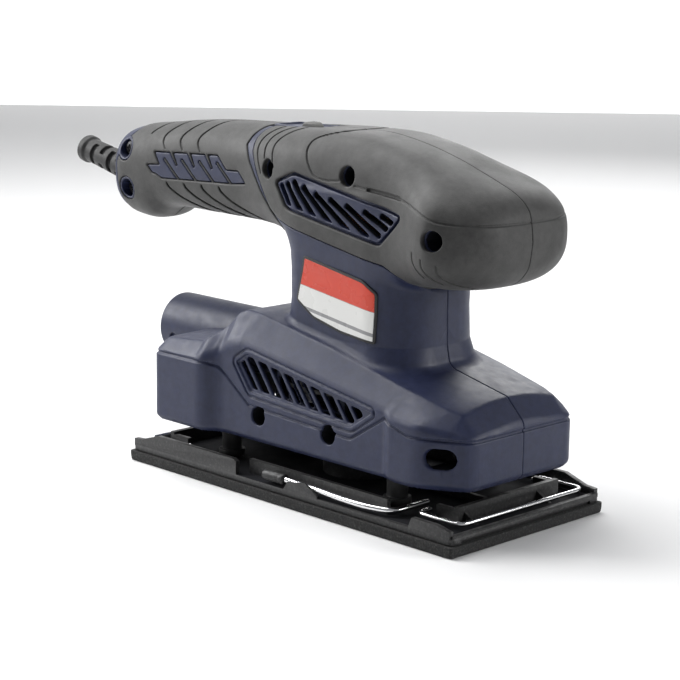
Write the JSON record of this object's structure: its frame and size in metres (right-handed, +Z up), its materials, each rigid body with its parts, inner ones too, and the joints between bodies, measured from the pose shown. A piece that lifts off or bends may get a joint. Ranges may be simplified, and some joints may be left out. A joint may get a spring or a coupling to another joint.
{
  "type": "orbital finishing sander",
  "caption": "Hand-held third-sheet orbital sander with rear handle, palm knob, slide switch, dust port and a rectangular pad with wire paper clamps.",
  "frame": {"origin": "centre of the pad's flat sanding face, at its lowest face", "axes": "+X towards the palm knob end along the pad's length, +Y towards the side without the printed label, +Z up away from the work"},
  "size_m": [0.2739, 0.09, 0.1478],
  "materials": {
    "casing": "satin moulded, very fine texture",
    "grip_rubber": "matte soft overmould",
    "front_label": "red and white printed film",
    "plain_label": "plain silver film",
    "switch_grey": "satin",
    "black_rubber": "matte",
    "black_plastic": "speckled, slightly rough",
    "pad_foam": "open grained foam",
    "capacitor_yellow": "gloss",
    "copper": "enamelled copper",
    "brass": "satin",
    "carbon": "matte",
    "bright_wire": "bright drawn",
    "screw_steel": "zinc plated",
    "core_steel": "laminated",
    "bearing_steel": "ground"
  },
  "bodies": {
    "housing": {"housing_left": "casing", "housing_right": "casing", "head_grip_left": "grip_rubber", "head_grip_right": "grip_rubber", "rear_grip_left": "grip_rubber", "rear_grip_right": "grip_rubber", "neck_label": "front_label", "rating_label": "plain_label", "switch_bezel": "casing", "switch_body": "black_plastic", "strain_relief_boot": "black_rubber", "dust_port": "casing", "cable_clamp": "black_plastic", "cable_clamp_screw_left": "screw_steel", "cable_clamp_screw_right": "screw_steel", "capacitor": "capacitor_yellow", "handle_screw_upper": "screw_steel", "handle_screw_lower": "screw_steel", "collar_screw": "screw_steel", "head_screw": "screw_steel", "palm_screw": "screw_steel", "flank_screw_rear": "screw_steel", "flank_screw_front": "screw_steel", "nose_screw": "screw_steel", "rubber_leg_1": "black_rubber", "rubber_leg_2": "black_rubber", "rubber_leg_3": "black_rubber", "rubber_leg_4": "black_rubber", "stator_core": "core_steel", "field_coil_front": "copper", "field_coil_rear": "copper", "upper_bearing": "bearing_steel", "lower_bearing": "bearing_steel", "brush_holder_front": "brass", "brush_holder_rear": "brass", "carbon_brush_front": "carbon", "carbon_brush_rear": "carbon"},
    "rotor": {"rotor_shaft": "bearing_steel", "armature_core": "core_steel", "commutator": "copper", "suction_fan": "black_plastic", "counterweight": "core_steel", "eccentric_hub": "bearing_steel"},
    "platen": {"pad_bearing": "bearing_steel", "pad_tray": "black_plastic", "foam_pad": "pad_foam"},
    "front_lever": {"front_clamp_lever": "bright_wire", "front_lever_sleeve": "black_plastic"},
    "front_bail": {"front_clamp_bail": "bright_wire"},
    "rear_lever": {"rear_clamp_lever": "bright_wire", "rear_lever_sleeve": "black_plastic"},
    "rear_bail": {"rear_clamp_bail": "bright_wire"},
    "switch": {"switch_knob": "switch_grey"}
  },
  "joints": [
    {"name": "rotor_spin", "type": "hinge", "parent": "housing", "child": "rotor", "pos_m": [0.0017, 0, 0.06], "axis": [0, 0, 1], "continuous": true},
    {"name": "pad_orbit", "type": "hinge", "parent": "rotor", "child": "platen", "pos_m": [0.0027, 0, 0.014], "axis": [0, 0, 1], "continuous": true},
    {"name": "front_lever_lift", "type": "hinge", "parent": "platen", "child": "front_lever", "pos_m": [0.0583, -0.03, 0.0094], "axis": [0, 1, 0], "range_deg": [0, 30]},
    {"name": "front_bail_lift", "type": "hinge", "parent": "platen", "child": "front_bail", "pos_m": [0.066, 0, 0.0096], "axis": [0, -1, 0], "range_deg": [0, 20]},
    {"name": "rear_lever_lift", "type": "hinge", "parent": "platen", "child": "rear_lever", "pos_m": [-0.0583, 0.03, 0.0094], "axis": [0, -1, 0], "range_deg": [0, 30]},
    {"name": "rear_bail_lift", "type": "hinge", "parent": "platen", "child": "rear_bail", "pos_m": [-0.066, 0, 0.0096], "axis": [0, 1, 0], "range_deg": [0, 20]},
    {"name": "switch_slide", "type": "slide", "parent": "housing", "child": "switch", "axis": [1, 0, 0], "range_m": [0, 0.0055]}
  ],
  "couplings": [
    {"joint": "pad_orbit", "follows": "rotor_spin", "ratio": -1},
    {"joint": "front_bail_lift", "follows": "front_lever_lift", "ratio": 0.6},
    {"joint": "rear_bail_lift", "follows": "rear_lever_lift", "ratio": 0.6}
  ]
}
